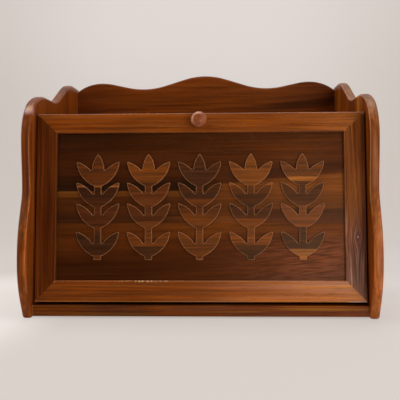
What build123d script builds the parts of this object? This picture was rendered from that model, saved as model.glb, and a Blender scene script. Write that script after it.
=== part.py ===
from build123d import *
import os
from math import asin, atan2, cos, degrees, hypot, radians, sin, tan

# A wooden bread box with a drop-front door: two scrolled side boards hold a bottom board, a shelf
# and a scalloped back, and a mitred frame-and-panel door turns on a steel pin in each side.
# Millimetres. X runs to the right seen from the front, Y to the back and Z up, and the origin is
# the middle of the box's footprint on the table.

# ---- driving dimensions ----
width = 432.0                  # over the outer faces of the two side boards
depth = 300.0                  # from the belly of the sides to the back
height = 335.0                 # crest of the back panel above the table
board = 12.0                   # thickness of the sides, shelf and back
edge_round = 3.5               # round-over along the scrolled edges
arris = 0.8                    # small chamfer on straight edges

# side board outline: Y counts from the belly, the foremost line of the box
belly_height = 68.0
belly_radius_below = 100.0
belly_turn_below = 29.0        # degrees that the edge leans back where it runs down to the foot
belly_radius_above = 135.0
waist_height = 160.0
waist_setback = 24.0
waist_radius = 40.0
brow_height = 214.0            # the edge comes forward a little again under the top corner
brow_setback = 21.3
brow_radius = 262.0
corner_radius = 55.0           # upper front corner: a tight arc, then a slack one
corner_turn = 65.0
top_front_radius = 110.0
side_low_top = 278.0           # level run behind the front corner
ramp_start = 138.0             # where the level run turns up, from the belly
ramp_radius_low = 88.0
ramp_radius_high = 110.0
side_high_top = 317.0
ramp_end = 265.7
foot_corner_radius = 2.5

# scalloped top of the back panel, as distances from the middle
valley_x = 97.5
valley_top = 315.3
valley_radius = 115.0
hump_x = 164.0
hump_top = 325.0
hump_radius_inner = 88.0
hump_radius_outer = 64.0
crest_radius = 106.0
back_joint_heights = (115.0, 230.0)    # the two glue lines of the back

# shelves
bottom_lift = 2.0              # underside of the bottom board above the table
bottom_thickness = 13.0
bottom_front_setback = 25.0
bottom_edge_round = 1.2
shelf_top = 246.0

# door
door_lean = 5.3                # degrees that the closed door leans back
door_setback = 30.5            # lower front edge of the door behind the belly
door_bottom = 18.7
door_height = 233.0            # along the leaning door
door_side_gap = 0.8
door_thickness = 16.0
stile_width = 25.5
bottom_rail_width = 26.0
top_rail_width = 24.0
panel_recess = 5.0             # panel face behind the frame face
panel_thickness = 6.0
groove_depth = 6.0
panel_play = 0.5               # room for the panel to swell, each side, inside its groove
panel_joint_heights = (96.4, 136.4)    # glue lines of the panel, up from the door's lower edge
door_stop_gap = 0.3            # shelf edge behind the closed door
key_setback = 11.0             # middle of a mitre key from the door's two outer edges
key_size = 10.0
key_thickness = 2.0
key_depth = 11.5               # front of the keys behind the frame face

# pivots
pivot_up = 8.0                 # pin centre above the door's lower edge
pivot_in = 6.5                 # pin centre behind the door's face
pin_radius = 2.0
pin_reach = 18.0               # length of pin inside the door
pin_running_clearance = 0.05
pin_chamfer = 0.4

# dowels and screws
dowel_radius = 3.0
dowel_in_side = 8.0
dowel_in_board = 16.0
shelf_dowel_ys = (-55, 30, 115)
bottom_dowel_ys = (-95, 10, 115)
back_dowel_zs = (32, 88, 145, 202, 256, 298)
screw_radius = 1.75
screw_head_radius = 3.5
screw_head_height = 2.0
back_screw_length = 30.0
back_screw_spacing = 140.0

# knob and catch
knob_up = 222.0                # knob centre above the door's lower edge
knob_ring = 6.0                # centre of the rim's rounding, from the knob's axis
knob_rim = 4.0                 # radius of that rounding, so the knob is 20 across
knob_rim_up = 14.4             # rim above the door's face
knob_neck = 4.8
knob_cove = 5.0
knob_cove_up = 5.5
knob_cove_turn = 53.0
catch_spacing = 240.0
magnet_radius = 4.0
magnet_length = 5.0
strike_screw_length = 12.0
knob_screw_length = 28.0

# five fretted wheat ears on the door's panel
ear_count = 5
ear_pitch = 63.25
ear_height = 132.0
ear_middle = 117.0
ear_thickness = 3.0
ear_arris = 0.5
fret_radius = 1.2              # corners left by the fret saw and sanding
stem_width = 9.0
stem_in_grain = 4.0            # length of stem hidden in the top grain
grain_length = 42.0
grain_width = 13.5
top_grain_width = 15.5
grain_tilt = 40.0              # degrees from upright
grain_rise = 26.0
grain_rows = 3
leaf_up = 3.0                  # root of the lowest pair above the foot of the stem

# ---- worked out from the dimensions above ----
belly_y = -depth / 2
back_y = depth / 2
inner_x = width / 2 - board
back_front_y = back_y - board
bottom_top = bottom_lift + bottom_thickness
bottom_middle = bottom_lift + bottom_thickness / 2
shelf_middle = shelf_top - board / 2
lean_sin = sin(radians(door_lean))
lean_cos = cos(radians(door_lean))
door_half = inner_x - door_side_gap
opening_half = door_half - stile_width
opening_top = door_height - top_rail_width
door_face = Plane(
    origin=(0, belly_y + door_setback, door_bottom),
    x_dir=(1, 0, 0),
    z_dir=(0, -lean_cos, lean_sin),
)
pivot = door_face.from_local_coords(Vector(0, pivot_up, -pivot_in))

os.makedirs("parts", exist_ok=True)


def save(builder, name):
    """Label a finished piece and write it as parts/name.step."""
    builder.part.label = name
    export_step(builder.part, f"parts/{name}.step")


# ---- outlines ----
def s_curve(start, end, radius_start, radius_end):
    """Join two points whose tangents are parallel to X by an arc, a straight and a counter-arc.

    The straight is the inner tangent of the two circles, so the three pieces run on smoothly.
    """
    run = end[0] - start[0]
    rise = end[1] - start[1]
    radii = radius_start + radius_end
    side = 1 if rise > 0 else -1
    across = radii - abs(rise)
    turn = degrees(asin(radii / hypot(run, across)) - atan2(across, run))
    first = JernArc(start=start, tangent=(1, 0), radius=radius_start, arc_size=side * turn)
    back_to = (
        end[0] - radius_end * sin(radians(turn)),
        end[1] - side * radius_end * (1 - cos(radians(turn))),
    )
    Line(first @ 1, back_to)
    JernArc(start=back_to, tangent=first % 1, radius=radius_end, arc_size=-side * turn)


def lower_front_edge():
    """Draw the front of a side from the belly down to the table, and return the point it ends at."""
    below = JernArc(
        start=(belly_y, belly_height), tangent=(0, -1), radius=belly_radius_below, arc_size=belly_turn_below
    )
    drop = (below @ 1).Y
    foot = (below @ 1).X + drop * tan(radians(belly_turn_below)), 0
    Line(below @ 1, foot)
    return foot


def upright_s_curve(start, end, radius_start, radius_end):
    """The same arc, straight and counter-arc between two points with upright tangents."""
    rise = end[1] - start[1]
    run = end[0] - start[0]
    radii = radius_start + radius_end
    side = 1 if run > 0 else -1
    across = radii - abs(run)
    turn = degrees(asin(radii / hypot(rise, across)) - atan2(across, rise))
    first = JernArc(start=start, tangent=(0, 1), radius=radius_start, arc_size=-side * turn)
    back_to = (
        end[0] - side * radius_end * (1 - cos(radians(turn))),
        end[1] - radius_end * sin(radians(turn)),
    )
    Line(first @ 1, back_to)
    JernArc(start=back_to, tangent=first % 1, radius=radius_end, arc_size=side * turn)


def side_outline():
    """Outline of a side board in (Y, Z), built from tangent arcs and straights."""
    waist = (belly_y + waist_setback, waist_height)
    brow = (belly_y + brow_setback, brow_height)
    foot = lower_front_edge()
    upright_s_curve((belly_y, belly_height), waist, belly_radius_above, waist_radius)
    upright_s_curve(waist, brow, brow_radius, brow_radius)
    slack_turn = 90 - corner_turn
    corner_rise = corner_radius * sin(radians(corner_turn))
    slack_rise = top_front_radius * (1 - cos(radians(slack_turn)))
    corner_start = (brow[0], side_low_top - corner_rise - slack_rise)
    Line(brow, corner_start)
    corner = JernArc(start=corner_start, tangent=(0, 1), radius=corner_radius, arc_size=-corner_turn)
    slack = JernArc(start=corner @ 1, tangent=corner % 1, radius=top_front_radius, arc_size=-slack_turn)
    ramp_foot = (belly_y + ramp_start, side_low_top)
    ramp_head = (belly_y + ramp_end, side_high_top)
    Line(slack @ 1, ramp_foot)
    s_curve(ramp_foot, ramp_head, ramp_radius_low, ramp_radius_high)
    Polyline(ramp_head, (back_y, side_high_top), (back_y, 0), foot)


def back_outline(low, high):
    """Outline of one back board in (X, Z) between two heights; the top board follows the scallop."""
    if high < valley_top:
        Polyline((-inner_x, low), (inner_x, low), (inner_x, high), (-inner_x, high), close=True)
        return
    end_turn = degrees(asin((inner_x - hump_x) / hump_radius_outer))
    end_top = hump_top - hump_radius_outer * (1 - cos(radians(end_turn)))
    Polyline((-inner_x, end_top), (-inner_x, low), (inner_x, low), (inner_x, end_top))
    JernArc(start=(hump_x, hump_top), tangent=(1, 0), radius=hump_radius_outer, arc_size=-end_turn)
    JernArc(start=(-hump_x, hump_top), tangent=(-1, 0), radius=hump_radius_outer, arc_size=end_turn)
    s_curve((-hump_x, hump_top), (-valley_x, valley_top), hump_radius_inner, valley_radius)
    s_curve((-valley_x, valley_top), (0, high), valley_radius, crest_radius)
    s_curve((0, high), (valley_x, valley_top), crest_radius, valley_radius)
    s_curve((valley_x, valley_top), (hump_x, hump_top), valley_radius, hump_radius_inner)


# ---- fixings, drawn both as pieces and as the holes that take them ----
shelf_dowel_spots = [(y, shelf_middle) for y in shelf_dowel_ys]
bottom_dowel_spots = [(y, bottom_middle) for y in bottom_dowel_ys]
back_dowel_spots = [(back_y - board / 2, z) for z in back_dowel_zs]


def dowels(spots, mode):
    """Round dowels along X across both joints between a board and the sides, at (Y, Z) spots."""
    for hand in (-1, 1):
        middle_x = hand * (inner_x + (dowel_in_side - dowel_in_board) / 2)
        with Locations([(middle_x, y, z) for y, z in spots]):
            Cylinder(dowel_radius, dowel_in_side + dowel_in_board, rotation=(0, 90, 0), mode=mode)


def countersunk_screws(plane, spots, length, mode):
    """Flat-head screws that go in along the plane's normal, with their heads flush with the plane."""
    with Locations([plane * Location((x, y, 0)) for x, y in spots]):
        Cylinder(screw_radius, length, align=(Align.CENTER, Align.CENTER, Align.MIN), mode=mode)
        Cone(
            screw_head_radius,
            screw_radius,
            screw_head_height,
            align=(Align.CENTER, Align.CENTER, Align.MIN),
            mode=mode,
        )


back_rear = Plane(origin=(0, back_y, 0), x_dir=(-1, 0, 0), z_dir=(0, -1, 0))
back_screw_xs = (-back_screw_spacing, 0, back_screw_spacing)
shelf_screw_spots = [(x, -shelf_middle) for x in back_screw_xs]
bottom_screw_spots = [(x, -bottom_middle) for x in back_screw_xs]
back_screw_spots = shelf_screw_spots + bottom_screw_spots


def pivot_pins(hands, radius, inner_end, mode):
    """Pins or pin holes along X at the door's pivot, from the side's outer face to inner_end."""
    for hand in hands:
        outer_end = width / 2
        with Locations((hand * (outer_end + inner_end) / 2, pivot.Y, pivot.Z)):
            Cylinder(radius, outer_end - inner_end, rotation=(0, 90, 0), mode=mode)


# ---- case ----
for side_name, hand in (("left_side", -1), ("right_side", 1)):
    with BuildPart() as side:
        with BuildSketch(Plane.YZ.offset(hand * inner_x)) as face:
            with BuildLine():
                side_outline()
            make_face()
            foot_corner = face.vertices().group_by(Axis.Y)[0].sort_by(Axis.X)[0]
            fillet(foot_corner, foot_corner_radius)
        extrude(amount=hand * board)
        flats = side.edges().filter_by(Axis.X, reverse=True)
        straight = flats.group_by(Axis.Z)[0] + flats.group_by(Axis.Y)[-1]
        fillet(flats - straight, edge_round)
        dowels(shelf_dowel_spots + bottom_dowel_spots + back_dowel_spots, Mode.SUBTRACT)
        pivot_pins((hand,), pin_radius, inner_x, Mode.SUBTRACT)
    save(side, side_name)

back_levels = (bottom_lift, *back_joint_heights, height)
back_names = ("back_lower_board", "back_middle_board", "back_upper_board")
for back_name, low, high in zip(back_names, back_levels, back_levels[1:]):
    with BuildPart() as back_board:
        with BuildSketch(Plane.XZ.offset(-back_y)):
            with BuildLine():
                back_outline(low, high)
            make_face()
        extrude(amount=board)
        if high == height:
            rims = back_board.edges().filter_by(Axis.Y, reverse=True)
            rims = rims.filter_by(lambda edge: edge.center().Z > valley_top - board)
            rims = rims.filter_by(lambda edge: abs(edge.center().X) < inner_x - 1)
            fillet(rims, edge_round)
        dowels(back_dowel_spots, Mode.SUBTRACT)
        countersunk_screws(back_rear, back_screw_spots, back_screw_length, Mode.SUBTRACT)
    save(back_board, back_name)

with BuildPart() as bottom_board:
    bottom_front_y = belly_y + bottom_front_setback
    with BuildSketch(Plane.XY.offset(bottom_lift)):
        with Locations((0, (bottom_front_y + back_front_y) / 2)):
            Rectangle(2 * inner_x, back_front_y - bottom_front_y)
    extrude(amount=bottom_thickness)
    fillet(bottom_board.edges().filter_by(Axis.X).group_by(Axis.Y)[0], bottom_edge_round)
    dowels(bottom_dowel_spots, Mode.SUBTRACT)
    countersunk_screws(back_rear, bottom_screw_spots, back_screw_length, Mode.SUBTRACT)
save(bottom_board, "bottom_board")


def behind_door(z):
    """Y of the closed door's inner face, plus the stop gap, at height z."""
    inward = door_thickness + door_stop_gap
    up = (z - door_bottom + inward * lean_sin) / lean_cos
    return door_face.from_local_coords(Vector(0, up, -inward)).Y


# the shelf's front edge is bevelled to the lean of the door, and two magnets sit in it
magnet_up = (shelf_middle - door_bottom + (door_thickness + door_stop_gap) * lean_sin) / lean_cos
shelf_edge = door_face.offset(-door_thickness - door_stop_gap)
catch_spots = [(-catch_spacing / 2, magnet_up), (catch_spacing / 2, magnet_up)]
with BuildPart() as top_shelf:
    with BuildSketch(Plane.YZ.offset(-inner_x)):
        with BuildLine():
            Polyline(
                (behind_door(shelf_top - board), shelf_top - board),
                (behind_door(shelf_top), shelf_top),
                (back_front_y, shelf_top),
                (back_front_y, shelf_top - board),
                close=True,
            )
        make_face()
    extrude(amount=2 * inner_x)
    dowels(shelf_dowel_spots, Mode.SUBTRACT)
    countersunk_screws(back_rear, shelf_screw_spots, back_screw_length, Mode.SUBTRACT)
    with BuildSketch(shelf_edge):
        with Locations(*catch_spots):
            Circle(magnet_radius)
    extrude(amount=-magnet_length, mode=Mode.SUBTRACT)
save(top_shelf, "top_shelf")

with BuildPart() as catch_magnets:
    with BuildSketch(shelf_edge):
        with Locations(*catch_spots):
            Circle(magnet_radius)
    extrude(amount=-magnet_length)
save(catch_magnets, "catch_magnets")

dowel_sets = (
    ("shelf_dowels", shelf_dowel_spots),
    ("bottom_dowels", bottom_dowel_spots),
    ("back_dowels", back_dowel_spots),
)
for dowel_name, spots in dowel_sets:
    with BuildPart() as dowel_set:
        dowels(spots, Mode.ADD)
    save(dowel_set, dowel_name)

for screw_name, spots in (("shelf_screws", shelf_screw_spots), ("bottom_screws", bottom_screw_spots)):
    with BuildPart() as screw_set:
        countersunk_screws(back_rear, spots, back_screw_length, Mode.ADD)
    save(screw_set, screw_name)

for pin_name, hand in (("left_pivot_pin", -1), ("right_pivot_pin", 1)):
    with BuildPart() as pin:
        pivot_pins((hand,), pin_radius, door_half - pin_reach, Mode.ADD)
        chamfer(pin.edges(), pin_chamfer)
    save(pin, pin_name)

# ---- door frame: four mitred pieces, grooved for the panel and keyed across the mitres ----
outer_corners = ((-door_half, 0), (door_half, 0), (door_half, door_height), (-door_half, door_height))
inner_corners = (
    (-opening_half, bottom_rail_width),
    (opening_half, bottom_rail_width),
    (opening_half, opening_top),
    (-opening_half, opening_top),
)
key_x = door_half - key_setback
key_spots = [(x, y) for x in (-key_x, key_x) for y in (key_setback, door_height - key_setback)]
inner_face = door_face.offset(-door_thickness)
with BuildSketch(door_face.offset(-key_depth)) as key_squares:
    with Locations(*key_spots):
        Rectangle(key_size, key_size, rotation=45)


def panel_outline(low, high, margin):
    """Rectangle across the opening from low to high, reaching into the grooves by margin."""
    reach = opening_half + margin
    with Locations((0, (low + high) / 2)):
        Rectangle(2 * reach, high - low)


frame_names = ("door_bottom_rail", "door_right_stile", "door_top_rail", "door_left_stile")
for i, frame_name in enumerate(frame_names):
    j = (i + 1) % 4
    with BuildPart() as frame_piece:
        with BuildSketch(door_face):
            with BuildLine():
                Polyline(outer_corners[i], outer_corners[j], inner_corners[j], inner_corners[i], close=True)
            make_face()
        extrude(amount=-door_thickness)
        grain = door_face.x_dir if i % 2 == 0 else door_face.y_dir
        chamfer(frame_piece.edges().filter_by(Axis((0, 0, 0), grain)), arris)
        with BuildSketch(door_face.offset(-panel_recess)):
            panel_outline(bottom_rail_width - groove_depth, opening_top + groove_depth, groove_depth)
        extrude(amount=-panel_thickness, mode=Mode.SUBTRACT)
        extrude(key_squares.sketch, amount=-key_thickness, mode=Mode.SUBTRACT)
        pivot_pins((-1, 1), pin_radius + pin_running_clearance, door_half - pin_reach - 1, Mode.SUBTRACT)
        countersunk_screws(inner_face, [(0, knob_up)], knob_screw_length, Mode.SUBTRACT)
        countersunk_screws(inner_face, catch_spots, strike_screw_length, Mode.SUBTRACT)
    save(frame_piece, frame_name)

with BuildPart() as keys:
    extrude(key_squares.sketch, amount=-key_thickness)
save(keys, "mitre_keys")

# ---- door panel: three boards glued edge to edge, loose in the grooves ----
panel_reach = groove_depth - panel_play
panel_levels = (bottom_rail_width - panel_reach, *panel_joint_heights, opening_top + panel_reach)
panel_names = ("panel_lower_board", "panel_middle_board", "panel_upper_board")
for panel_name, low, high in zip(panel_names, panel_levels, panel_levels[1:]):
    with BuildPart() as panel_board:
        with BuildSketch(door_face.offset(-panel_recess)):
            panel_outline(low, high, panel_reach)
        extrude(amount=-panel_thickness)
    save(panel_board, panel_name)


# ---- five raised wheat ears, fretted from a board and glued to the panel ----
ear_foot = ear_middle - ear_height / 2
ear_crown = ear_middle + ear_height / 2 - grain_length
pair_roots = [ear_crown - row * grain_rise for row in range(grain_rows)] + [ear_foot + leaf_up]
grains = [(ear_crown, top_grain_width, 0)]    # root height, breadth, tilt
for root_y in pair_roots:
    grains += [(root_y, grain_width, -grain_tilt), (root_y, grain_width, grain_tilt)]

with BuildSketch() as ear_shape:
    stem_length = ear_crown + stem_in_grain - ear_foot
    with Locations((0, ear_foot + stem_length / 2)):
        Rectangle(stem_width, stem_length)
    for root_y, breadth, tilt in grains:
        # a pointed oval: two equal arcs from root to tip, tilted from upright
        along = Vector(sin(radians(tilt)), cos(radians(tilt)))
        across = Vector(cos(radians(tilt)), -sin(radians(tilt)))
        root = Vector(0, root_y)
        tip = root + along * grain_length
        middle = root + along * grain_length / 2
        with BuildLine():
            ThreePointArc(root, middle + across * breadth / 2, tip)
            ThreePointArc(tip, middle - across * breadth / 2, root)
        make_face()
    fillet(ear_shape.vertices(), fret_radius)

for i in range(ear_count):
    with BuildPart() as ear:
        with BuildSketch(door_face.offset(-panel_recess)):
            with Locations(((i - (ear_count - 1) / 2) * ear_pitch, 0)):
                add(ear_shape.sketch)
        extrude(amount=ear_thickness)
        ear_front = ear.faces().sort_by(Axis((0, 0, 0), door_face.z_dir))[-1]
        chamfer(ear_front.edges(), ear_arris)
    save(ear, f"overlay_{i + 1}")

# ---- knob, its screw and the two strike screws ----
knob_base = door_face.from_local_coords(Vector(0, knob_up, 0))
knob_side = Plane(origin=knob_base, x_dir=(1, 0, 0), z_dir=-door_face.y_dir)
dome_radius = knob_ring * 2**0.5 + knob_rim
with BuildPart() as knob:
    # half profile, outwards along Y: a foot, a cove round the neck, a round rim and a shallow dome
    with BuildSketch(knob_side):
        with BuildLine():
            # the arcs meet with their tangents close, which leaves no sharp edge for the fingers
            cove = CenterArc(
                center=(knob_neck + knob_cove, knob_cove_up),
                radius=knob_cove,
                start_angle=180 - knob_cove_turn,
                arc_size=2 * knob_cove_turn,
            )
            rim = CenterArc(center=(knob_ring, knob_rim_up), radius=knob_rim, start_angle=-60, arc_size=105)
            dome = CenterArc(
                center=(0, knob_rim_up - knob_ring), radius=dome_radius, start_angle=45, arc_size=45
            )
            Line(cove @ 0, rim @ 0)
            Polyline(cove @ 1, ((cove @ 1).X, 0), (0, 0), dome @ 1)
        make_face()
    revolve(axis=Axis(knob_base, door_face.z_dir))
    countersunk_screws(inner_face, [(0, knob_up)], knob_screw_length, Mode.SUBTRACT)
save(knob, "knob")

with BuildPart() as knob_screw:
    countersunk_screws(inner_face, [(0, knob_up)], knob_screw_length, Mode.ADD)
save(knob_screw, "knob_screw")

with BuildPart() as strike_screws:
    countersunk_screws(inner_face, catch_spots, strike_screw_length, Mode.ADD)
save(strike_screws, "strike_screws")
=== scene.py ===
"""Finishes a wooden bread box: lacquered boards with their own grain, steel fittings and a pale studio.

Metres, in the box's own frame: X to the right seen from the front, +Y to the back, Z up from the table.
Tones are display values from 0 to 255, and the scales of noise count features a metre along each axis.
"""
import math

import bpy
import numpy as np
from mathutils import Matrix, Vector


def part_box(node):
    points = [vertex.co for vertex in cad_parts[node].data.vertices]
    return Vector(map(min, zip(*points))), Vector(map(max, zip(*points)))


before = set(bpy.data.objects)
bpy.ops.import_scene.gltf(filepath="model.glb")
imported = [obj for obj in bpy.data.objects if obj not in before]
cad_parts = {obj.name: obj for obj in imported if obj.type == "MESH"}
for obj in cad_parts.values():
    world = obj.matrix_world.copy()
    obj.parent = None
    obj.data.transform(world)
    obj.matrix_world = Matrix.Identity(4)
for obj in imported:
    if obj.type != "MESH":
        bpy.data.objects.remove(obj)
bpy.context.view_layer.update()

# ---- sizes of the box that its marks and worn edges follow ----
side_low, side_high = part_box("right_side")
stile_low, stile_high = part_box("door_right_stile")
SIDE_INNER = side_low[0]                       # a side board's inner face, from the middle of the box
BOARD = side_high[0] - side_low[0]
STILE_INNER = stile_low[0]
STILE_OUTER = stile_high[0]
DOOR_LEAN = math.radians(5.3)                  # the closed door leans back on the shelf
DOOR_FOOT = 0.0076                             # the door's lower edge, up its own plane from the origin
DOOR_FACE = 0.120                              # its face, in front of the origin and square to that plane
DOOR_HEIGHT = 0.233
BOTTOM_RAIL_WIDTH = 0.026
TOP_RAIL_WIDTH = 0.024
KNOB_UP = 0.222                                # the knob's axis, up the door's plane
KNOT_ACROSS = 0.1927                           # a small knot in the right stile
KNOT_UP = 0.079
SHEEN_SPOT = (-0.2114, -0.1130, 0.2538)     # a painted pale sheen on the left side board's upper front corner
ARRIS_REACH = 0.003                            # how far in from a frame piece's long edges they are worn
EAR_TOP = 0.19                                 # just over the tips of the ears, up the door's plane
STRIP_DARK = 0.7                               # the darkest grain of an ear's strip, as a part of its tone
STRIP_LIGHT = 1.12

# ---- where the photograph was taken from ----
CAMERA_PLACE = (0.0334, -0.954, 0.157)
CAMERA_TURN = math.radians(2.21)               # the view swings left of straight back
CAMERA_DROP = math.radians(0.96)               # and looks a little down
CAMERA_ROLL = math.radians(0.24)
LENS = 61.95
SENSOR_WIDTH = 36.0                            # millimetres, as the lens

camera = bpy.data.objects.new("camera", bpy.data.cameras.new("camera"))
bpy.context.scene.collection.objects.link(camera)
camera.location = CAMERA_PLACE
camera.rotation_euler = (math.pi / 2 - CAMERA_DROP, CAMERA_ROLL, CAMERA_TURN)
camera.data.lens = LENS
camera.data.sensor_width = SENSOR_WIDTH
bpy.context.scene.camera = camera
bpy.context.scene.view_settings.view_transform = "Standard"


def tint(red, green, blue):
    """Linear colour of three display values from 0 to 255."""
    values = np.array([red, green, blue]) / 255
    linear = np.where(values <= 0.04045, values / 12.92, ((values + 0.055) / 1.055) ** 2.4)
    return (*linear.tolist(), 1.0)


# ---- material nodes ----
class Tree:
    """The node tree of one material, with a short call for each kind of node used here.

    place is a point's own place on the box, in metres.
    """

    def __init__(self, name):
        self.material = bpy.data.materials.new(name)
        self.material.use_nodes = True
        self.nodes = self.material.node_tree.nodes
        self.links = self.material.node_tree.links
        self.nodes.clear()
        self.place = self.node("ShaderNodeTexCoord").outputs["Object"]

    def node(self, kind, feeds=None, **settings):
        """Adds a node, sets its properties, and links or sets each socket named in feeds."""
        made = self.nodes.new(kind)
        for name, value in settings.items():
            setattr(made, name, value)
        for name, value in (feeds or {}).items():
            if isinstance(value, bpy.types.NodeSocket):
                self.links.new(value, made.inputs[name])
            else:
                made.inputs[name].default_value = value
        return made

    def mapped(self, vector, location=(0, 0, 0), rotation=(0, 0, 0), scale=(1, 1, 1)):
        """vector scaled, turned and then moved."""
        feeds = {"Vector": vector, "Location": location, "Rotation": rotation, "Scale": scale}
        return self.node("ShaderNodeMapping", feeds).outputs[0]

    def noise(self, vector, scale, detail=2.0, rough=0.5):
        """Noise from 0 to 1 at so many features a metre along each axis of vector."""
        place = self.mapped(vector, scale=scale)
        feeds = {"Vector": place, "Scale": 1.0, "Detail": detail, "Roughness": rough}
        return self.node("ShaderNodeTexNoise", feeds).outputs

    def maths(self, operation, first, second=0.0):
        return self.node("ShaderNodeMath", {0: first, 1: second}, operation=operation).outputs[0]

    def times(self, *factors):
        """The product of all the factors."""
        product = factors[0]
        for factor in factors[1:]:
            product = self.maths("MULTIPLY", product, factor)
        return product

    def vector(self, operation, first, second=(0, 0, 0)):
        return self.node("ShaderNodeVectorMath", {0: first, 1: second}, operation=operation).outputs

    def split(self, vector):
        return self.node("ShaderNodeSeparateXYZ", {0: vector}).outputs

    def joined(self, x, y, z=0.0):
        return self.node("ShaderNodeCombineXYZ", {0: x, 1: y, 2: z}).outputs[0]

    def ranged(self, value, low, high, to_low=0.0, to_high=1.0, smooth=True):
        """value taken from low..high to to_low..to_high, held at both ends."""
        feeds = {"Value": value, "From Min": low, "From Max": high, "To Min": to_low, "To Max": to_high}
        kind = "SMOOTHSTEP" if smooth else "LINEAR"
        return self.node("ShaderNodeMapRange", feeds, interpolation_type=kind).outputs[0]

    def band(self, value, low, high, soft):
        """1 where value lies between low and high, 0 outside, with edges as wide as twice soft."""
        rise = self.ranged(value, low - soft, low + soft)
        return self.times(rise, self.ranged(value, high - soft, high + soft, 1.0, 0.0))

    def mixed(self, factor, first, second, blend="MIX"):
        """first where factor is 0 and second where it is 1; a Mix node's colours are its sockets 6 and 7."""
        feeds = {0: factor, 6: first, 7: second}
        return self.node("ShaderNodeMix", feeds, data_type="RGBA", blend_type=blend).outputs[2]

    def laid(self, colour, over, share, strength=1.0):
        """colour with over laid on it where share is 1, as thickly as strength says."""
        if strength < 1:
            share = self.times(share, strength)
        return self.mixed(share, colour, over)

    def toned(self, tone, dark, light):
        """From the dark display tone to the light one, as tone goes from 0 to 1."""
        return self.mixed(tone, tint(*dark), tint(*light))

    def ramp(self, value, stops, kind="LINEAR"):
        """The tones of stops, a list of (position, tone), laid over value."""
        made = self.node("ShaderNodeValToRGB", {0: value})
        made.color_ramp.interpolation = kind
        points = made.color_ramp.elements
        points[0].position = stops[0][0]
        points[0].color = tint(*stops[0][1])
        points[1].position = stops[-1][0]
        points[1].color = tint(*stops[-1][1])
        for position, tone in stops[1:-1]:
            points.new(position).color = tint(*tone)
        return made.outputs[0]

    def bump(self, height, depth, strength):
        feeds = {"Height": height, "Distance": depth, "Strength": strength}
        return self.node("ShaderNodeBump", feeds).outputs[0]

    def edge(self, width):
        """1 on the object's sharp edges, falling to 0 within width of them."""
        rounded = self.node("ShaderNodeBevel", {"Radius": width}, samples=8).outputs[0]
        flat = self.node("ShaderNodeNewGeometry").outputs["Normal"]
        same = self.vector("DOT_PRODUCT", rounded, flat)["Value"]
        return self.ranged(same, 0.998, 0.88)

    def surface(self, kind, feeds):
        """Ends the tree with a shader of that kind, and returns the material."""
        shader = self.node(kind, feeds)
        out = self.node("ShaderNodeOutputMaterial")
        self.links.new(shader.outputs[0], out.inputs["Surface"])
        return self.material


# ---- wood ----
# turns of the place vector that bring a board's fibres to its X
ALONG_X = (0.0, 0.0, 0.0)
ALONG_Z = (0.0, math.pi / 2, 0.0)
UP_THE_DOOR = (DOOR_LEAN, math.pi / 2, 0.0)
ACROSS_THE_DOOR = (DOOR_LEAN, 0.0, 0.0)

RING_PART = 0.26               # the parts that make up the grain's tone
STREAK_PART = 0.22
LINE_PART = 0.28
FIBRE_PART = 0.24
TONE_SPREAD = 0.13             # the tone strays so far from a half, at a contrast of 1
RED_WANDER = 0.08              # red and blue stray by these parts of themselves, at hues of 1
BLUE_WANDER = 0.5
PORE_TONE = (25, 10, 4)
PORE_STRENGTH = 0.35
PORE_DEPTH = 0.0001
SCRATCH_DEPTH = 0.00002        # of the turning marks in the metal


def grain(tree, turn, shift, pith, slope, warp):
    """Grain of a board whose fibres run along the mapped X.

    The growth rings are cylinders about a pith line that lies off the board by pith and runs a little
    askew by slope, so a face cuts them in long arches. Their tone is noise of the distance from the pith,
    mixed with streaks, lines and fine fibres, all stretched along the board and bent by warp.
    Returns the tone, the fibres, the pores and the coordinates along the board.
    """
    board = tree.mapped(tree.place, location=shift, rotation=turn)
    drift = tree.noise(board, (5, 18, 18), detail=3)["Color"]
    drift = tree.vector("SUBTRACT", drift, (0.5, 0.5, 0.5))["Vector"]
    drift = tree.vector("MULTIPLY", drift, (0, warp, warp))["Vector"]
    warped = tree.vector("ADD", board, drift)["Vector"]
    trunk = tree.mapped(warped, location=(0, *pith), rotation=(0, slope, -slope))
    spoke = tree.vector("MULTIPLY", trunk, (0, 1, 1))["Vector"]
    radius = tree.vector("LENGTH", spoke)["Value"]
    feeds = {"W": radius, "Scale": 260.0, "Detail": 4.0, "Roughness": 0.66}
    rings = tree.node("ShaderNodeTexNoise", feeds, noise_dimensions="1D").outputs[0]
    streaks = tree.noise(warped, (3.5, 150, 150), detail=3, rough=0.6)[0]
    lines = tree.noise(warped, (7, 340, 340), detail=2, rough=0.5)[0]
    fibre = tree.noise(warped, (13, 560, 560), detail=4, rough=0.75)[0]
    pores = tree.ranged(tree.noise(warped, (75, 1500, 1500), detail=2)[0], 0.58, 0.70)
    tone = tree.maths("ADD", tree.times(rings, RING_PART), tree.times(streaks, STREAK_PART))
    tone = tree.maths("ADD", tone, tree.times(lines, LINE_PART))
    tone = tree.maths("ADD", tone, tree.times(fibre, FIBRE_PART))
    return tone, fibre, pores, board


def wander(tree, board, patches, hues):
    """A colour near white that makes a board darker and lighter in patches, and more orange or more plum."""
    cloud = tree.ranged(tree.noise(board, (6, 25, 25), detail=2)[0], 0.3, 0.7, 1 - patches, 1 + patches)
    warmth = tree.split(tree.noise(board, (9, 230, 230), detail=2)[1])["Y"]
    red = tree.ranged(warmth, 0.35, 0.65, 1 - RED_WANDER * hues, 1 + RED_WANDER * hues)
    blue = tree.ranged(warmth, 0.35, 0.65, 1 + BLUE_WANDER * hues, 1 - BLUE_WANDER * hues)
    return tree.joined(tree.times(cloud, red), cloud, tree.times(cloud, blue))


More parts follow.
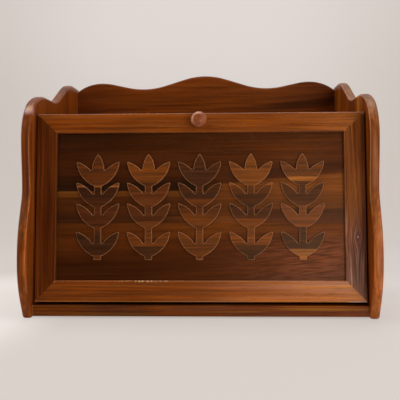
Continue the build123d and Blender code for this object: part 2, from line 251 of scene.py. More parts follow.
def wood(name, turn, dark, light, shift=(0, 0, 0), pith=(0.05, 0.03), slope=0.02, warp=0.006, contrast=1.3,
         hues=0.5, rough=0.31, gloss=0.26, sheen=(1.0, 0.62, 0.36), worn=(185, 122, 72), wear=0.7,
         wear_width=0.0015, patches=0.2, figure=None, rubbed=None):
    """A satin-lacquered board: dark and light tones run with the grain, and worn shows on the edges.

    shift picks the part of the tree that the board is cut from, and pith, slope and warp are as in grain.
    hues says how far it wanders between orange and plum, figure adds the marks of one board, and rubbed
    says where on its edges the finish is thin.
    """
    tree = Tree(name)
    tone, fibre, pores, board = grain(tree, turn, shift, pith, slope, warp)
    spread = TONE_SPREAD / contrast
    tone = tree.ranged(tone, 0.5 - spread, 0.5 + spread, smooth=False)
    colour = tree.toned(tone, dark, light)
    if figure:
        colour = figure(tree, colour, tone, board)
    colour = tree.mixed(1.0, colour, wander(tree, board, patches, hues), blend="MULTIPLY")
    colour = tree.laid(colour, tint(*PORE_TONE), pores, PORE_STRENGTH)
    edge = tree.times(tree.edge(wear_width), wear)
    if rubbed:
        edge = tree.times(edge, rubbed(tree))
    colour = tree.laid(colour, tint(*worn), edge)
    height = tree.maths("SUBTRACT", tree.times(fibre, 0.6), pores)
    return tree.surface("ShaderNodeBsdfPrincipled", {
        "Base Color": colour,
        "Roughness": tree.ranged(fibre, 0.3, 0.7, rough - 0.04, rough + 0.06),
        "Specular IOR Level": gloss,
        "Specular Tint": (*sheen, 1.0),
        "Normal": tree.bump(height, PORE_DEPTH, 0.5),
    })


def metal(name, tone, rough):
    """Plated metal with a faint turned finish."""
    tree = Tree(name)
    scratch = tree.noise(tree.place, (900, 900, 900), detail=3)[0]
    return tree.surface("ShaderNodeBsdfPrincipled", {
        "Base Color": tint(*tone),
        "Metallic": 1.0,
        "Roughness": tree.ranged(scratch, 0.3, 0.7, rough - 0.06, rough + 0.08),
        "Normal": tree.bump(scratch, SCRATCH_DEPTH, 0.4),
    })


def finish(node, material):
    """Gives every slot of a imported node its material."""
    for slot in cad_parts[node].material_slots:
        slot.material = material


# ---- places on the boards ----
def on_the_door(tree):
    """How far across the door from its middle, behind its face, and up its own plane from its lower edge."""
    turned = tree.mapped(tree.place, location=(0, DOOR_FACE, -DOOR_FOOT), rotation=(DOOR_LEAN, 0, 0))
    place = tree.split(turned)
    return place["X"], place["Y"], place["Z"]


def inner_face(tree, across):
    """1 on the face of a side board that looks into the box."""
    return tree.ranged(tree.maths("ABSOLUTE", across), SIDE_INNER + 0.0006, SIDE_INNER + 0.0001)


def shade_beside_the_door(tree, reach):
    """1 on a side board's strip of painted shade along the closed door's face, as far forward of it as
    reach.
    """
    _, behind, up = on_the_door(tree)
    strip = tree.band(behind, -reach, 0.003, 0.001)
    return tree.times(strip, tree.ranged(up, DOOR_HEIGHT + 0.003, DOOR_HEIGHT - 0.001))


def wavy(tree, value, board, size, scale=(8, 60, 60)):
    """value pushed up and down by noise drawn out along the board."""
    sway = tree.maths("SUBTRACT", tree.noise(board, scale, detail=3)[0], 0.5)
    return tree.maths("ADD", value, tree.times(sway, size))


def above_line(tree, across, up, rise, level):
    """Height over a line that passes level at the middle of the box and climbs by rise to the right."""
    return tree.maths("SUBTRACT", up, tree.maths("ADD", tree.times(across, rise), level))


# ---- figure of single boards ----
# Each function takes the board's colour so far, the tone of its grain and the coordinates along it, and
# gives the colour back with the marks laid on. Places are in metres, across and up the door or the box.
def panel_upper_figure(tree, colour, tone, board):
    """Nearly black at the left, paler to the right, where a dark streak lies over orange sapwood.

    The left part is a shade paler along its middle and darkest at its foot, and the whole board is darker
    along the top rail.
    """
    across, _, up = on_the_door(tree)
    right = tree.ranged(across, -0.15, 0.12)
    colour = tree.laid(colour, tree.toned(tone, (54, 22, 3), (86, 39, 10)), right)
    middle = tree.times(tree.band(up, 0.170, 0.188, 0.005), tree.band(across, -0.13, -0.01, 0.03))
    colour = tree.laid(colour, tree.toned(tone, (62, 28, 6), (92, 43, 12)), middle, 0.4)
    colour = tree.laid(colour, tint(20, 8, 1), tree.ranged(up, 0.188, 0.204, 0.0, 0.3))
    foot = tree.band(wavy(tree, up, board, 0.01), 0.12, 0.152, 0.006)
    foot = tree.times(foot, tree.ranged(across, 0.03, 0.0))
    colour = tree.laid(colour, tree.toned(tone, (24, 7, 1), (40, 14, 2)), foot)
    over = wavy(tree, above_line(tree, across, up, 0.1, 0.1425), board, 0.008)
    sapwood = tree.times(tree.ranged(over, 0.001, -0.003), tree.ranged(across, 0.0, 0.04))
    colour = tree.laid(colour, tree.toned(tone, (84, 40, 8), (124, 66, 20)), sapwood)
    streak = tree.times(tree.band(over, 0.002, 0.012, 0.003), tree.ranged(across, 0.01, 0.06))
    return tree.laid(colour, tree.toned(tone, (38, 14, 4), (62, 27, 9)), streak, 0.8)


def panel_middle_figure(tree, colour, tone, board):
    """A pale strip along the top at the left, over darker wood, and dark heartwood low at the right."""
    across, _, up = on_the_door(tree)
    right = tree.ranged(across, -0.06, 0.11)
    colour = tree.laid(colour, tree.toned(tone, (72, 34, 7), (118, 62, 21)), right)
    high = wavy(tree, up, board, 0.008)
    strip = tree.times(tree.band(high, 0.1295, 0.15, 0.0015), tree.ranged(across, 0.04, -0.02))
    colour = tree.laid(colour, tree.toned(tone, (76, 38, 7), (110, 60, 16)), strip)
    left_foot = tree.times(tree.band(high, 0.08, 0.108, 0.004), tree.ranged(across, 0.0, -0.06))
    colour = tree.laid(colour, tree.toned(tone, (34, 13, 3), (52, 22, 7)), left_foot, 0.7)
    heart = tree.times(tree.band(high, 0.09, 0.1135, 0.0015), tree.ranged(across, 0.03, 0.07))
    return tree.laid(colour, tree.toned(tone, (50, 21, 8), (78, 36, 15)), heart)


def panel_lower_figure(tree, colour, tone, board):
    """Darker to the lower left, warmer along the upper edge and in the upper left corner.

    The right part is finely rippled across the grain.
    """
    across, _, up = on_the_door(tree)
    right = tree.ranged(across, -0.02, 0.17)
    ripple = tree.noise(tree.mapped(board, rotation=(0, 0.07, 0)), (45, 620, 620), detail=3)[0]
    rippled = tree.toned(tree.ranged(ripple, 0.36, 0.64), (69, 28, 9), (109, 55, 31))
    colour = tree.laid(colour, rippled, right, 0.85)
    high = wavy(tree, up, board, 0.014)
    top = tree.times(tree.ranged(high, 0.070, 0.092), tree.ranged(across, -0.13, 0.02, 0.35, 0.9))
    colour = tree.laid(colour, tree.toned(tone, (68, 30, 4), (104, 52, 13)), top)
    corner = tree.ranged(above_line(tree, across, high, 0.9, 0.225), 0.0, 0.012)
    corner = tree.times(corner, tree.ranged(across, -0.13, -0.16))
    colour = tree.laid(colour, tree.toned(tone, (58, 24, 3), (84, 40, 8)), corner)
    dark = tree.times(tree.ranged(high, 0.066, 0.046), tree.ranged(across, 0.02, -0.08))
    return tree.laid(colour, tree.toned(tone, (40, 13, 1), (58, 23, 3)), dark, 0.8)


def top_rail_figure(tree, colour, tone, board):
    """A shade redder at the left, and paler and browner towards the right end."""
    across = on_the_door(tree)[0]
    left = tree.ranged(across, -0.04, -0.17)
    colour = tree.laid(colour, tree.toned(tone, (88, 36, 2), (122, 58, 12)), left, 0.8)
    right = tree.ranged(wavy(tree, across, board, 0.03), 0.07, 0.185)
    return tree.laid(colour, tree.toned(tone, (93, 48, 21), (138, 80, 40)), right, 0.75)


def bottom_rail_figure(tree, colour, tone, board):
    """Paler and streaked with rose towards the right, and rubbed along the lower edge.

    That edge is whitish at its right end. A broken row of pale specks lies along the upper edge, left of
    the middle and on the front alone.
    """
    across, behind, up = on_the_door(tree)
    right = tree.ranged(across, -0.04, 0.2)
    lines = tree.noise(board, (5, 260, 260), detail=3)[0]
    streaked = tree.ramp(lines, [(0.37, (120, 52, 16)), (0.47, (158, 84, 33)), (0.56, (176, 100, 40)),
                                 (0.65, (178, 96, 66))])
    streaked = tree.mixed(0.5, streaked, tree.toned(tone, (122, 59, 15), (180, 103, 50)))
    colour = tree.laid(colour, streaked, right)
    level = wavy(tree, up, board, 0.012)
    high = tree.times(tree.ranged(level, 0.012, 0.020, 0.0, 0.4), right)
    colour = tree.laid(colour, tree.toned(tone, (142, 84, 50), (192, 132, 98)), high)
    low = tree.times(tree.ranged(level, 0.013, 0.004, 0.0, 0.65), right)
    colour = tree.laid(colour, tree.toned(tone, (132, 62, 12), (190, 100, 28)), low)
    foot = tree.ranged(up, 0.0015, 0.0006)
    pale = tree.toned(tree.ranged(across, 0.175, 0.185), (160, 104, 58), (215, 190, 175))
    colour = tree.laid(colour, pale, foot, 0.75)
    row = tree.band(up, BOTTOM_RAIL_WIDTH - 0.0017, BOTTOM_RAIL_WIDTH + 0.004, 0.0003)
    row = tree.times(row, tree.band(across, -0.098, -0.04, 0.004), tree.ranged(behind, 0.004, 0.002))
    specks = tree.ranged(tree.noise(tree.place, (520, 200, 200), detail=3, rough=0.7)[0], 0.50, 0.60)
    return tree.laid(colour, tint(222, 190, 166), tree.times(row, specks))


def bottom_figure(tree, colour, tone, board):
    """The front strip under the door: dark left of the middle, then olive, plum and orange lines."""
    across = tree.split(tree.place)["X"]
    shade = tree.band(wavy(tree, across, board, 0.05), -0.135, -0.06, 0.02)
    colour = tree.laid(colour, tree.toned(tone, (48, 19, 6), (80, 37, 14)), shade)
    lines = tree.noise(board, (5, 240, 240), detail=2)[0]
    striped = tree.ramp(lines, [(0.38, (142, 86, 16)), (0.46, (110, 46, 12)), (0.53, (74, 29, 16)),
                                (0.60, (144, 70, 20))])
    return tree.laid(colour, striped, tree.ranged(across, -0.06, 0.10, 0.3, 0.9))


def back_upper_figure(tree, colour, tone, board):
    """A dark streak climbs to the right over a warm lower corner, and both ends are darker."""
    place = tree.split(tree.place)
    across = place["X"]
    over = wavy(tree, above_line(tree, across, place["Z"], 0.09, 0.277), board, 0.008)
    streak = tree.times(tree.band(over, -0.004, 0.004, 0.003), tree.ranged(across, 0.05, 0.14, 0.0, 0.62))
    colour = tree.laid(colour, tree.toned(tone, (34, 11, 2), (52, 20, 5)), streak)
    ends = tree.maths("MAXIMUM", tree.ranged(across, 0.05, 0.19), tree.ranged(across, -0.10, -0.2))
    colour = tree.laid(colour, tree.toned(tone, (52, 19, 3), (84, 34, 8)), ends, 0.6)
    corner = tree.times(tree.ranged(over, -0.006, -0.012), tree.ranged(across, 0.09, 0.17))
    return tree.laid(colour, tree.toned(tone, (104, 43, 5), (148, 67, 12)), corner, 0.8)


def left_stile_figure(tree, colour, tone, board):
    """A shade darker at the top, and lighter in the lower half."""
    up = wavy(tree, on_the_door(tree)[2], board, 0.06)
    top = tree.ranged(up, 0.17, 0.22, 0.0, 0.6)
    colour = tree.laid(colour, tree.toned(tone, (50, 16, 1), (80, 34, 4)), top)
    low = tree.ranged(up, 0.13, 0.07, 0.0, 0.6)
    return tree.laid(colour, tree.toned(tone, (70, 25, 2), (104, 47, 8)), low)


def right_stile_figure(tree, colour, tone, board):
    """Grey plum streaks in the lower half run round a small knot with a painted pale glint at its heart;
    painted shade from the side board darkens the outer edge.

    The streaks are noise of the distance across the door, pushed aside more the nearer they pass the knot.
    """
    across, _, up = on_the_door(tree)
    aside = tree.maths("SUBTRACT", across, KNOT_ACROSS)
    from_knot = tree.joined(aside, tree.times(tree.maths("SUBTRACT", up, KNOT_UP), 0.6))
    knot = tree.vector("LENGTH", from_knot)["Value"]
    push = tree.maths("DIVIDE", 0.00006, tree.maths("ADD", knot, 0.004))
    push = tree.times(tree.maths("SIGN", aside), push)
    round_knot = tree.joined(tree.times(up, 14), tree.times(tree.maths("SUBTRACT", across, push), 420))
    streaks = tree.noise(round_knot, (1, 1, 1), detail=3, rough=0.6)[0]
    plum = tree.ramp(streaks, [(0.37, (46, 18, 17)), (0.46, (88, 42, 35)), (0.54, (102, 54, 45)),
                               (0.63, (144, 104, 90))])
    colour = tree.laid(colour, plum, tree.ranged(wavy(tree, up, board, 0.03), 0.125, 0.065))
    # painted shadow of the side board over the stile's outer part
    outer = tree.ranged(wavy(tree, across, board, 0.002), 0.1945, 0.2005)
    colour = tree.laid(colour, tint(62, 27, 14), outer, 0.55)
    # painted shade along the stile's outermost edge, beside the gap
    rim = tree.ranged(across, STILE_OUTER - 0.001, STILE_OUTER - 0.0004)
    colour = tree.laid(colour, tint(26, 8, 1), rim)
    ring = tree.band(wavy(tree, knot, tree.place, 0.005, (500, 500, 500)), 0.0006, 0.0024, 0.0009)
    colour = tree.laid(colour, tint(50, 20, 12), ring, 0.45)
    # painted pale glint at the knot's heart
    heart = tree.ranged(wavy(tree, knot, tree.place, 0.002, (900, 900, 900)), 0.0009, 0.0002)
    return tree.laid(colour, tint(190, 155, 130), heart)


def side_streaks(tree, board, plum, brown, orange, pale):
    """Streaks of four tones that run up a side board."""
    lines = tree.noise(board, (4, 250, 250), detail=3, rough=0.6)[0]
    return tree.ramp(lines, [(0.36, plum), (0.46, brown), (0.55, orange), (0.66, pale)])


def left_side_figure(tree, colour, tone, board):
    """Streaked, warmer at the foot and inside, with a plum line up the middle of the front edge.

    Below that line the edge is dark on its outer part and carries a painted highlight along its ridge. A
    painted pale sheen lies on one spot of the upper front corner, and painted shade darkens the inner face
    along the closed door's face.
    """
    place = tree.split(tree.place)
    across, height = place["X"], place["Z"]
    low = tree.ranged(height, 0.2, 0.06)
    colour = tree.laid(colour, tree.toned(tone, (84, 33, 2), (128, 62, 14)), low)
    streaks = side_streaks(tree, board, (70, 24, 8), (100, 40, 2), (118, 54, 8), (142, 80, 26))
    colour = tree.mixed(0.5, colour, streaks)
    outward = tree.maths("SUBTRACT", -SIDE_INNER, wavy(tree, across, board, 0.001))
    plum = tree.times(tree.band(outward, 0.0030, 0.0059, 0.0006), tree.band(height, 0.13, 0.235, 0.02))
    colour = tree.laid(colour, tint(62, 21, 12), plum, 0.75)
    outer = tree.times(tree.ranged(outward, 0.0038, 0.0052), tree.band(height, 0.045, 0.135, 0.02))
    colour = tree.laid(colour, tree.toned(tone, (56, 22, 3), (84, 38, 8)), outer, 0.5)
    # painted highlight along the ridge of the front edge's inner rounding
    ridge = tree.times(tree.band(outward, 0.0010, 0.0019, 0.0003), tree.band(height, 0.04, 0.145, 0.015))
    colour = tree.laid(colour, tint(168, 106, 74), ridge, 0.32)
    inside = inner_face(tree, across)
    colour = tree.laid(colour, tree.toned(tone, (98, 41, 3), (138, 67, 14)), inside)
    # painted pale sheen on one spot of the upper front corner
    from_sheen_spot = tree.vector("DISTANCE", tree.place, SHEEN_SPOT)["Value"]
    from_sheen_spot = wavy(tree, from_sheen_spot, tree.place, 0.003, (200, 200, 200))
    colour = tree.laid(colour, tint(202, 170, 164), tree.ranged(from_sheen_spot, 0.0110, 0.001, 0.0, 0.55))
    # painted shade on the inner face along the closed door's face
    door_shade = tree.times(inside, shade_beside_the_door(tree, 0.006))
    return tree.laid(colour, tint(40, 13, 1), door_shade, 0.6)


def right_side_figure(tree, colour, tone, board):
    """Streaked, orange at the foot and pinkish along its outer edge with painted sheen; its inner arris is
    rubbed and also carries a painted highlight.

    Two bright streaks run up its inside, and its upper edge carries a greyer painted sheen; painted shade
    darkens its inside along the closed door's face.
    """
    place = tree.split(tree.place)
    across, height = place["X"], place["Z"]
    outward = tree.maths("SUBTRACT", across, SIDE_INNER)
    low = tree.ranged(height, 0.2, 0.06)
    colour = tree.laid(colour, tree.toned(tone, (116, 56, 14), (168, 96, 42)), low)
    streaks = side_streaks(tree, board, (88, 34, 12), (116, 54, 14), (138, 70, 26), (166, 94, 46))
    colour = tree.mixed(0.5, colour, streaks)
    # painted pinkish sheen on the outer part of the front edge
    outer_sheen = tree.ranged(wavy(tree, outward, board, 0.002), 0.0055, 0.0085)
    outer_sheen = tree.times(outer_sheen, tree.ranged(height, 0.15, 0.1))
    colour = tree.laid(colour, tree.toned(tone, (108, 58, 36), (160, 100, 68)), outer_sheen, 0.4)
    inside = inner_face(tree, across)
    depth = wavy(tree, place["Y"], board, 0.012)
    front_streak = tree.band(depth, -0.078, -0.045, 0.008)
    back_streak = tree.band(depth, 0.085, 0.112, 0.006)
    bright = tree.maths("MAXIMUM", front_streak, back_streak)
    lined = tree.toned(tone, (100, 40, 1), (148, 72, 9))
    lined = tree.laid(lined, tree.toned(tone, (148, 76, 6), (200, 114, 28)), bright, 0.8)
    colour = tree.laid(colour, lined, inside)
    # painted greyer sheen on the slope of the upper edge
    top = tree.times(tree.ranged(outward, 0.0006, 0.0016), tree.ranged(height, 0.235, 0.255))
    top = tree.times(top, tree.ranged(outward, BOARD - 0.0001, BOARD - 0.001))
    colour = tree.laid(colour, tree.toned(tone, (92, 60, 38), (130, 92, 62)), top, 0.65)
    # rubbed inner arris, brightened further by a painted highlight
    arris = tree.times(tree.band(outward, 0.0004, 0.0012, 0.0002), tree.ranged(height, 0.11, 0.16))
    colour = tree.laid(colour, tint(195, 135, 90), arris, 0.65)
    # painted shade on the inner face along the closed door's face
    door_shade = tree.times(inside, shade_beside_the_door(tree, 0.005))
    return tree.laid(colour, tint(26, 8, 1), door_shade, 0.85)


def knob_figure(tree, colour, tone, board):
    """The rim carries a painted pale highlight, strongest at the upper left."""
    across, _, up = on_the_door(tree)
    spoke = tree.joined(across, tree.maths("SUBTRACT", up, KNOB_UP))
    radius = wavy(tree, tree.vector("LENGTH", spoke)["Value"], tree.place, 0.002, (300, 300, 300))
    way = tree.vector("NORMALIZE", spoke)["Vector"]
    leftward = tree.vector("DOT_PRODUCT", way, (-0.82, 0.57, 0))["Value"]
    # painted highlight round the rim, weighted towards the upper left
    rim = tree.times(tree.band(radius, 0.0068, 0.0094, 0.0016), tree.ranged(leftward, 0.0, 0.95, 0.08, 0.62))
    return tree.laid(colour, tint(212, 152, 116), rim)


def strips(stops):
    """An ear sawn from glued-up strips: stops are the height up the door where each starts, and its tone."""
    def shaded(part):
        return [(start / EAR_TOP, part * np.array(tone)) for start, tone in stops]

    def figure(tree, colour, tone, board):
        level = tree.maths("DIVIDE", on_the_door(tree)[2], EAR_TOP)
        dark = tree.ramp(level, shaded(STRIP_DARK), kind="CONSTANT")
        light = tree.ramp(level, shaded(STRIP_LIGHT), kind="CONSTANT")
        return tree.mixed(tone, dark, light)
    return figure


# ---- where the lacquer is rubbed thin ----
def long_edges(tree, value, low, high):
    """1 along a frame piece's two long edges, where value is near low or high, and 0 between them.

    So the lacquer stays whole along the mitres.
    """
    middle = tree.band(value, low + ARRIS_REACH, high - ARRIS_REACH, 0.0006)
    return tree.maths("SUBTRACT", 1.0, middle)


def top_rail_edges(tree):
    """1 along the top rail's lower and upper edges."""
    return long_edges(tree, on_the_door(tree)[2], DOOR_HEIGHT - TOP_RAIL_WIDTH, DOOR_HEIGHT)


def bottom_rail_edges(tree):
    """1 along the bottom rail's lower and upper edges."""
    return long_edges(tree, on_the_door(tree)[2], 0.0, BOTTOM_RAIL_WIDTH)


def stile_edges(tree):
    """1 along the inner and outer edges of both stiles."""
    across = tree.maths("ABSOLUTE", on_the_door(tree)[0])
    return long_edges(tree, across, STILE_INNER, STILE_OUTER)


# ---- the case ----
finish("left_side", wood(
    "left_side_wood", ALONG_Z, (84, 32, 3), (124, 60, 13), pith=(0.02, 0.06), patches=0.25, hues=0.8,
    gloss=0.26, rough=0.34, wear=0.4, figure=left_side_figure))
finish("right_side", wood(
    "right_side_wood", ALONG_Z, (94, 40, 7), (138, 70, 20), shift=(0.3, 0, 0), pith=(0.02, -0.06),
    patches=0.25, gloss=0.24, rough=0.38, wear=0.4, figure=right_side_figure))
finish("back_upper_board", wood(
    "back_upper_wood", ALONG_X, (73, 28, 3), (113, 53, 12), pith=(0.04, -0.22), gloss=0.14, wear=0.4,
    figure=back_upper_figure))
finish("back_middle_board", wood(
    "back_middle_wood", ALONG_X, (66, 27, 5), (108, 50, 14), shift=(0.7, 0, 0.02), gloss=0.2, wear=0.1))
finish("back_lower_board", wood(
    "back_lower_wood", ALONG_X, (60, 23, 4), (98, 44, 12), shift=(1.3, 0, 0.07), gloss=0.2, wear=0.1))
finish("bottom_board", wood(
    "bottom_wood", ALONG_X, (57, 22, 3), (106, 52, 14), shift=(0.2, 0.1, 0.3), pith=(0.2, 0.02),
    contrast=1.8, hues=1.3, gloss=0.2, figure=bottom_figure))
finish("top_shelf", wood(
    "shelf_wood", ALONG_X, (70, 30, 7), (112, 55, 18), shift=(0.9, 0.2, 0.1), pith=(0.2, 0.03)))

# ---- the door ----
finish("door_top_rail", wood(
    "top_rail_wood", ACROSS_THE_DOOR, (92, 41, 6), (130, 65, 18), shift=(0.4, 0, 0), pith=(0.1, -0.2),
    contrast=1.6, hues=0.9, gloss=0.16, worn=(156, 95, 50), wear=0.5, figure=top_rail_figure,
    rubbed=top_rail_edges))
finish("door_bottom_rail", wood(
    "bottom_rail_wood", ACROSS_THE_DOOR, (88, 37, 4), (130, 63, 13), shift=(2.1, 0, 0), pith=(0.1, 0.1),
    contrast=1.6, hues=1.2, figure=bottom_rail_figure, rubbed=bottom_rail_edges))
finish("door_left_stile", wood(
    "left_stile_wood", UP_THE_DOOR, (60, 20, 1), (93, 41, 5), shift=(0.1, 0, 0), pith=(0.1, -0.1),
    contrast=1.6, gloss=0.18, worn=(130, 75, 38), figure=left_stile_figure, rubbed=stile_edges))
finish("door_right_stile", wood(
    "right_stile_wood", UP_THE_DOOR, (90, 40, 8), (134, 72, 24), shift=(1.7, 0, 0), pith=(0.1, 0.1),
    contrast=1.7, gloss=0.2, figure=right_stile_figure, rubbed=stile_edges))
finish("panel_upper_board", wood(
    "panel_upper_wood", ACROSS_THE_DOOR, (36, 10, 1), (58, 22, 2), shift=(0.5, 0, 0.4), pith=(0.1, 0.2),
    contrast=0.95, gloss=0.18, wear=0.0, figure=panel_upper_figure))
finish("panel_middle_board", wood(
    "panel_middle_wood", ACROSS_THE_DOOR, (48, 19, 2), (76, 34, 7), shift=(1.1, 0, 0.2), pith=(0.1, 0.2),
    contrast=0.95, gloss=0.18, wear=0.0, figure=panel_middle_figure))
finish("panel_lower_board", wood(
    "panel_lower_wood", ACROSS_THE_DOOR, (54, 20, 2), (80, 35, 6), shift=(3.1, 0, 0.1), pith=(0.1, -0.2),
    contrast=0.95, gloss=0.13, wear=0.0, figure=panel_lower_figure))

# tones of the strips that the ears are glued up from
ORANGE = (99, 50, 16)
BROWN = (84, 40, 12)
UMBER = (52, 24, 9)
PLUM = (60, 30, 12)
HONEY = (135, 77, 31)
ear_strips = {
    "overlay_1": [(0.0, (90, 44, 13)), (0.0565, PLUM), (0.086, (72, 33, 10)), (0.1235, UMBER),
                  (0.1405, HONEY), (0.143, (84, 40, 12))],
    "overlay_2": [(0.0, PLUM), (0.0675, (98, 48, 14)), (0.098, (74, 35, 12)), (0.1185, (88, 42, 13)),
                  (0.146, (107, 54, 16))],
    "overlay_3": [(0.0, (92, 46, 14)), (0.104, (84, 40, 14)), (0.126, PLUM), (0.15, (70, 35, 14))],
    "overlay_4": [(0.0, PLUM), (0.0685, (100, 50, 16)), (0.101, (66, 32, 14)), (0.1335, BROWN),
                  (0.142, (108, 57, 19))],
    "overlay_5": [(0.0, HONEY), (0.0645, PLUM), (0.091, (98, 50, 20)), (0.1175, (71, 36, 15)),
                  (0.147, HONEY), (0.153, (90, 47, 19))],
}
for number, (ear, stops) in enumerate(ear_strips.items(), start=1):
    finish(ear, wood(
        f"{ear}_wood", ACROSS_THE_DOOR, BROWN, ORANGE, shift=(0.37 * number, 0, 0.1), pith=(0.1, 0.15),
        patches=0.12, contrast=1.5, hues=0.4, gloss=0.2, worn=(205, 142, 98), wear=0.85, wear_width=0.0012,
        figure=strips(stops)))
finish("knob", wood(
    "knob_wood", ALONG_Z, (99, 40, 8), (130, 61, 20), shift=(0.2, 0, 0), gloss=0.34, rough=0.4,
    sheen=(1.0, 0.8, 0.62), wear=0.0, figure=knob_figure))

# ---- fittings ----
beech = wood("beech", ALONG_X, (150, 112, 74), (196, 158, 112), worn=(200, 165, 120))
for node in ("shelf_dowels", "bottom_dowels", "back_dowels", "mitre_keys"):
    finish(node, beech)
steel = metal("zinc_plated_steel", (176, 176, 172), 0.34)
for node in ("shelf_screws", "bottom_screws", "left_pivot_pin", "right_pivot_pin", "knob_screw",
             "strike_screws"):
    finish(node, steel)
finish("catch_magnets", metal("nickel", (196, 192, 184), 0.22))

# ---- studio ----
SWEEP_HALF_WIDTH = 3.0
SWEEP_FRONT = -1.25
SWEEP_WALL = 1.9
SWEEP_RADIUS = 0.9
SWEEP_TOP = 2.6
BEND_STEPS = 32

PAPER_TONE = (217, 208, 202)          # the floor and the foot of the wall
# painted light higher up the paper, and painted shade towards its left and right
PAPER_LIT_HIGH_TONE = (232, 224, 220)
PAPER_SHADED_SIDE_TONE = (213, 203, 194)
PAPER_LIT_BESIDE_TONE = (240, 232, 226)   # painted light on the floor close beside the box
PAPER_GLOW = 0.97
NEAR_SHARE = 0.68                     # how much of its tone the camera sees unlit, near the box
FAR_SHARE = 0.97                      # and far from it
BEYOND_TONE = (213, 204, 198)         # what the camera sees past the paper's edges
FILL_COLOUR = (0.95, 0.93, 0.9, 1)
FILL_STRENGTH = 0.08


def sweep():
    """A paper sweep: a floor, a quarter circle and a wall, one profile carried straight along X.

    Along the bend the depth grows by the radius times the sine of the turn, and the height by the radius
    times what its cosine falls short of 1.
    """
    turn = np.linspace(0, math.pi / 2, BEND_STEPS + 1)
    bend_y = SWEEP_WALL - SWEEP_RADIUS + SWEEP_RADIUS * np.sin(turn)
    bend_z = SWEEP_RADIUS * (1 - np.cos(turn))
    y = np.concatenate([[SWEEP_FRONT], bend_y, [SWEEP_WALL]])
    z = np.concatenate([[0.0], bend_z, [SWEEP_TOP]])
    x = np.array([-SWEEP_HALF_WIDTH, SWEEP_HALF_WIDTH])
    grid = np.stack(np.broadcast_arrays(x[:, None], y[None, :], z[None, :]), -1).reshape(-1, 3)
    first = np.arange(len(y) - 1)
    quads = np.stack([first, first + len(y), first + len(y) + 1, first + 1], -1)
    mesh = bpy.data.meshes.new("sweep")
    mesh.from_pydata(grid.tolist(), [], quads.tolist())
    mesh.shade_smooth()
    piece = bpy.data.objects.new("sweep", mesh)
    bpy.context.scene.collection.objects.link(piece)
    return piece


def backdrop_paper():
    """Pale warm paper with painted light, lightest high in the middle and on the floor beside the box, and
    with painted shade to left and right.

    The camera and reflections see most of its tone unlit, which softens the box's shadow on it, and far
    from the box nearly all of it, so the floor's far edge barely shows against the pale room.
    """
    tree = Tree("backdrop_paper")
    place = tree.split(tree.place)
    across, depth, height = place["X"], place["Y"], place["Z"]
    colour = tree.toned(tree.ranged(height, 0.05, 0.95), PAPER_TONE, PAPER_LIT_HIGH_TONE)
    # painted shade towards left and right, less high up and near the front
    sides = tree.ranged(tree.maths("ABSOLUTE", tree.maths("ADD", across, 0.1)), 0.28, 1.0)
    sides = tree.times(sides, tree.ranged(height, 0.5, 0.95, 1.0, 0.65))
    sides = tree.times(sides, tree.ranged(depth, 0.6, 1.6, 0.0, 0.8))
    colour = tree.laid(colour, tint(*PAPER_SHADED_SIDE_TONE), sides)
    # painted light on the floor beside the box, stronger at the left
    near = tree.band(depth, -0.27, 0.25, 0.12)
    left = tree.times(tree.ranged(across, -0.15, -0.24), tree.ranged(across, -0.56, -0.36), near)
    right = tree.times(tree.ranged(across, 0.18, 0.26, 0.0, 0.2), near)
    colour = tree.laid(colour, tint(*PAPER_LIT_BESIDE_TONE), tree.maths("MAXIMUM", left, right))
    paper = tree.node("ShaderNodeBsdfDiffuse", {"Color": colour}).outputs[0]
    unlit = tree.node("ShaderNodeEmission", {"Color": colour, "Strength": PAPER_GLOW}).outputs[0]
    rays = tree.node("ShaderNodeLightPath").outputs
    seen = tree.maths("MAXIMUM", rays["Is Camera Ray"], rays["Is Glossy Ray"])
    seen = tree.maths("MAXIMUM", seen, rays["Is Transmission Ray"])
    far = tree.maths("MAXIMUM", tree.ranged(tree.maths("ABSOLUTE", across), 1.0, 1.7),
                     tree.ranged(depth, -0.7, -1.2))
    share = tree.times(seen, tree.ranged(far, 0.0, 1.0, NEAR_SHARE, FAR_SHARE, smooth=False))
    return tree.surface("ShaderNodeMixShader", {0: share, 1: paper, 2: unlit})


backdrop = sweep()
backdrop.data.materials.append(backdrop_paper())


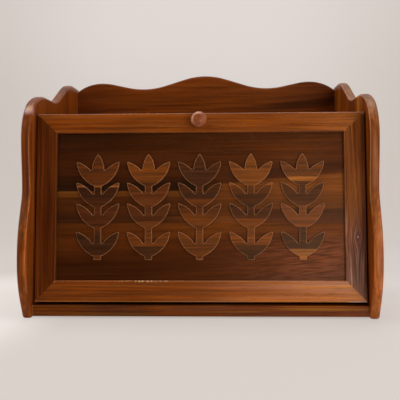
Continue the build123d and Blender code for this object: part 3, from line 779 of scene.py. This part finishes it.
def softbox(name, place, aim, size, power):
    """A rectangular area lamp at place that faces aim, out of the camera's sight."""
    lamp = bpy.data.lights.new(name, "AREA")
    lamp.shape = "RECTANGLE"
    lamp.size, lamp.size_y = size
    lamp.energy = power
    piece = bpy.data.objects.new(name, lamp)
    bpy.context.scene.collection.objects.link(piece)
    piece.visible_camera = False
    piece.location = place
    way = np.array(aim) - np.array(place)
    drop = math.acos(-way[2] / np.linalg.norm(way))
    piece.rotation_euler = (drop, 0, math.atan2(way[0], -way[1]) + math.pi)


# the low window lays a faint sheen on the right half of the front
softbox("window", (0.68, -1.5, 0.03), (0.1, 0, 0.05), (0.9, 0.26), 15)
softbox("key", (1.2, -1.0, 1.1), (0.0, 0, 0.1), (1.2, 1.2), 15.3)
softbox("left_front", (-1.1, -1.1, 1.0), (0.0, 0, 0.12), (1.1, 1.1), 6.7)
softbox("left_rim", (-1.5, 0.1, 0.6), (0.0, 0, 0.15), (1.3, 1.1), 6.5)
softbox("overhead", (0.0, 0.25, 1.9), (0, 0.25, 0), (1.5, 1.1), 26)


def pale_room():
    """A dim fill light all round, which the camera sees as paper past the sweep's edges."""
    world = bpy.data.worlds.new("room")
    bpy.context.scene.world = world
    world.use_nodes = True
    nodes, links = world.node_tree.nodes, world.node_tree.links
    fill = nodes["Background"]
    fill.inputs["Color"].default_value = FILL_COLOUR
    fill.inputs["Strength"].default_value = FILL_STRENGTH
    paper = nodes.new("ShaderNodeBackground")
    paper.inputs["Color"].default_value = tint(*BEYOND_TONE)
    paper.inputs["Strength"].default_value = 1.0
    rays = nodes.new("ShaderNodeLightPath")
    seen = nodes.new("ShaderNodeMath")
    seen.operation = "MAXIMUM"
    links.new(rays.outputs["Is Camera Ray"], seen.inputs[0])
    links.new(rays.outputs["Is Transmission Ray"], seen.inputs[1])
    either = nodes.new("ShaderNodeMixShader")
    links.new(seen.outputs[0], either.inputs[0])
    links.new(fill.outputs[0], either.inputs[1])
    links.new(paper.outputs[0], either.inputs[2])
    links.new(either.outputs[0], nodes["World Output"].inputs["Surface"])


pale_room()
